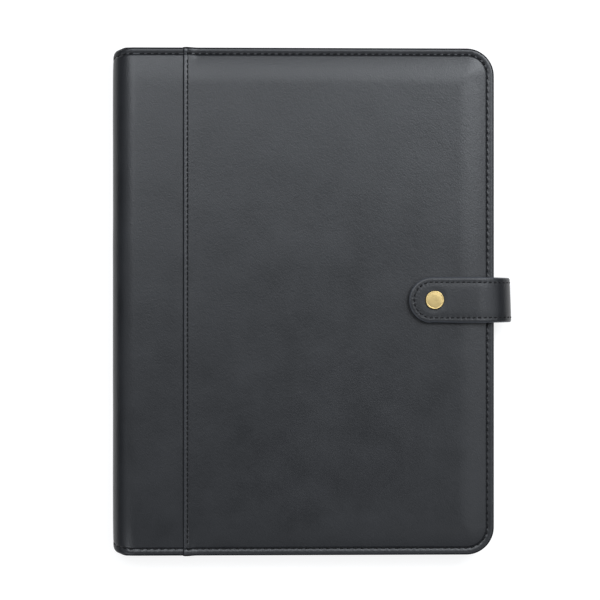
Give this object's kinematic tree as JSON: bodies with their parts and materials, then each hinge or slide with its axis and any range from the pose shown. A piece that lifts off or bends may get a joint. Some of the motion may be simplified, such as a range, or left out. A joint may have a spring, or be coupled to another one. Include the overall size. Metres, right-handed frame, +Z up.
{
  "type": "notebook cover",
  "caption": "Padded leather case for a writing pad, with a rolled spine, sewn edges and a strap that closes over the fore edge on a press stud.",
  "frame": {"origin": "middle of the face that the closed case rests on, the raised field of the back cover, at half the cover's width and height", "axes": "+Z up out of the front cover, +Y to the head of the page, +X to the fore edge, so the spine is at -X"},
  "size_m": [0.2615, 0.33, 0.0315],
  "materials": {
    "cover_leather": "satin black, fine grain",
    "lining_leather": "matt black, smooth",
    "thread": "waxed black thread",
    "foam": "soft grey foam",
    "board": "plain grey-brown board",
    "brass": "satin, lacquered",
    "spring_wire": "plain wire",
    "paper": "ruled writing paper",
    "binding_tape": "cloth tape"
  },
  "bodies": {
    "root": {"back_panel": "cover_leather", "back_foam": "foam", "back_board": "board", "back_lining": "lining_leather", "spine_wrap_back": "cover_leather", "pad_sleeve": "lining_leather", "pen_loop": "lining_leather", "strap_root": "cover_leather", "back_edge_thread": "thread", "back_seam_thread": "thread"},
    "spine": {"spine_wrap_middle": "cover_leather", "spine_padding": "foam", "spine_lining": "lining_leather", "spine_edge_thread": "thread"},
    "front": {"front_panel": "cover_leather", "front_foam": "foam", "front_board": "board", "front_lining": "lining_leather", "spine_wrap_front": "cover_leather", "document_pocket": "lining_leather", "card_slot_1": "lining_leather", "card_slot_2": "lining_leather", "card_slot_3": "lining_leather", "note_pocket": "lining_leather", "card_slot_thread": "thread", "front_edge_thread": "thread", "front_seam_thread": "thread", "snap_stud": "brass", "snap_stud_flange": "brass", "snap_rivet": "brass"},
    "strap_bridge": {"strap_bridge_outer": "cover_leather", "strap_bridge_lining": "lining_leather", "strap_bridge_thread": "thread"},
    "strap_tongue": {"strap_tongue_outer": "cover_leather", "strap_tongue_lining": "lining_leather", "strap_tongue_thread": "thread", "snap_cap": "brass", "snap_socket": "brass", "snap_spring": "spring_wire"},
    "pad": {"pad_board": "board", "pad_pages": "paper", "pad_binding": "binding_tape"}
  },
  "joints": [
    {"name": "spine_hinge", "type": "hinge", "parent": "root", "child": "spine", "pos_m": [-0.12094, 0, 0.00451], "axis": [0, -1, 0], "range_deg": [0, 90]},
    {"name": "front_hinge", "type": "hinge", "parent": "spine", "child": "front", "pos_m": [-0.12094, 0, 0.02049], "axis": [0, -1, 0], "range_deg": [0, 90]},
    {"name": "strap_bend", "type": "hinge", "parent": "root", "child": "strap_bridge", "pos_m": [0.12455, 0.001, 0.0033], "axis": [0, 1, 0], "range_deg": [0, 40], "stiffness_Nm_per_rad": 0.02},
    {"name": "strap_flap", "type": "hinge", "parent": "strap_bridge", "child": "strap_tongue", "pos_m": [0.12245, 0.001, 0.0302], "axis": [0, 1, 0], "range_deg": [0, 120], "stiffness_Nm_per_rad": 0.01},
    {"name": "pad_slide", "type": "slide", "parent": "root", "child": "pad", "axis": [0, 1, 0], "range_m": [0, 0.26]}
  ]
}
